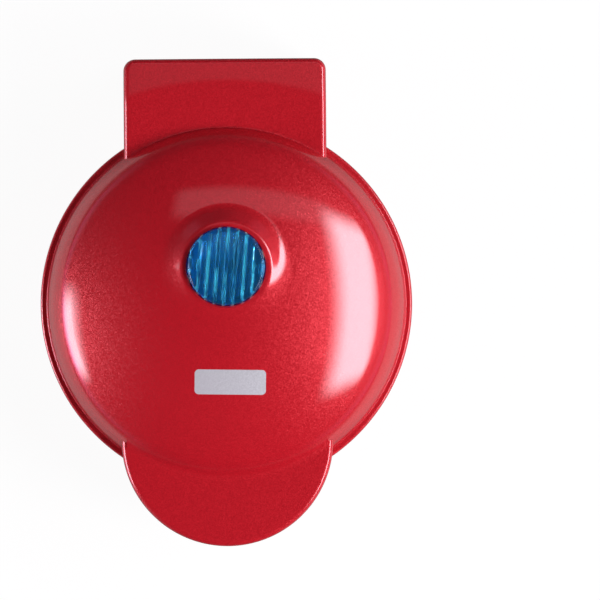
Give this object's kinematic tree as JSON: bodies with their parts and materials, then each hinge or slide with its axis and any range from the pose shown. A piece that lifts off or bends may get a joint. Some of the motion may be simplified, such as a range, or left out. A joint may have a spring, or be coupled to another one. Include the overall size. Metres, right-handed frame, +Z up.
{
  "type": "mini waffle maker",
  "caption": "Round countertop waffle maker with a hinged domed lid, a front handle tab, a rear hinge block and a blue indicator lens.",
  "frame": {"origin": "centre of the footprint, on the surface that the feet stand on", "axes": "+Z up along the dome's axis, +Y towards the hinge at the rear, the handle tab points to -Y"},
  "size_m": [0.127, 0.166, 0.071],
  "materials": {
    "red_paint": "candy-red metallic flake lacquer on a moulded cover",
    "red_plastic": "fine moulded",
    "nonstick_coating": "dark non-stick coating on a casting",
    "heater_sheath": "heat-tinted sheath",
    "aluminium_sheet": "rolled sheet",
    "blue_lens": "clear blue, polished",
    "lamp_glass": "clear",
    "white_plastic": "moulded",
    "lead_insulation": "braided glass sleeve",
    "brown_phenolic": "moulded",
    "black_rubber": "moulded",
    "steel": "zinc plated"
  },
  "bodies": {
    "base": {"base_shell": "red_paint", "base_inner_frame": "red_plastic", "lower_cooking_plate": "nonstick_coating", "lower_heating_element": "heater_sheath", "lower_element_clamp": "steel", "lower_clamp_nut": "steel", "lower_heat_reflector": "aluminium_sheet", "lower_plate_screw_1": "steel", "lower_plate_screw_2": "steel", "lower_plate_screw_3": "steel", "base_cover_screw_1": "steel", "base_cover_screw_2": "steel", "base_cover_screw_3": "steel", "base_cover_screw_4": "steel", "thermostat": "brown_phenolic", "thermal_fuse": "white_plastic", "fuse_clip": "steel", "terminal_block": "brown_phenolic", "lower_heater_lead_right": "lead_insulation", "lower_heater_lead_left": "lead_insulation", "hinge_lead_right": "lead_insulation", "hinge_lead_left": "lead_insulation", "control_lead_right": "lead_insulation", "control_lead_left": "lead_insulation", "cord_gland": "black_rubber", "foot_front_left": "black_rubber", "foot_front_right": "black_rubber", "foot_rear_left": "black_rubber", "foot_rear_right": "black_rubber"},
    "lid": {"lid_shell": "red_paint", "lid_inner_frame": "red_plastic", "upper_cooking_plate": "nonstick_coating", "upper_heating_element": "heater_sheath", "upper_element_clamp": "steel", "upper_clamp_nut": "steel", "upper_heat_reflector": "aluminium_sheet", "upper_plate_screw_1": "steel", "upper_plate_screw_2": "steel", "upper_plate_screw_3": "steel", "lid_cover_screw_1": "steel", "lid_cover_screw_2": "steel", "lid_cover_screw_3": "steel", "lid_cover_screw_4": "steel", "indicator_lens": "blue_lens", "lamp_housing": "white_plastic", "indicator_lamp": "lamp_glass", "lamp_housing_screw_1": "steel", "lamp_housing_screw_2": "steel", "upper_heater_lead_right": "lead_insulation", "upper_heater_lead_left": "lead_insulation", "lamp_lead_right": "lead_insulation", "lamp_lead_left": "lead_insulation", "hinge_pin_left": "steel", "hinge_pin_right": "steel"}
  },
  "joints": [
    {"name": "lid_hinge", "type": "hinge", "parent": "base", "child": "lid", "pos_m": [0, 0.0775, 0.034], "axis": [-1, 0, 0], "range_deg": [0, 100]}
  ]
}
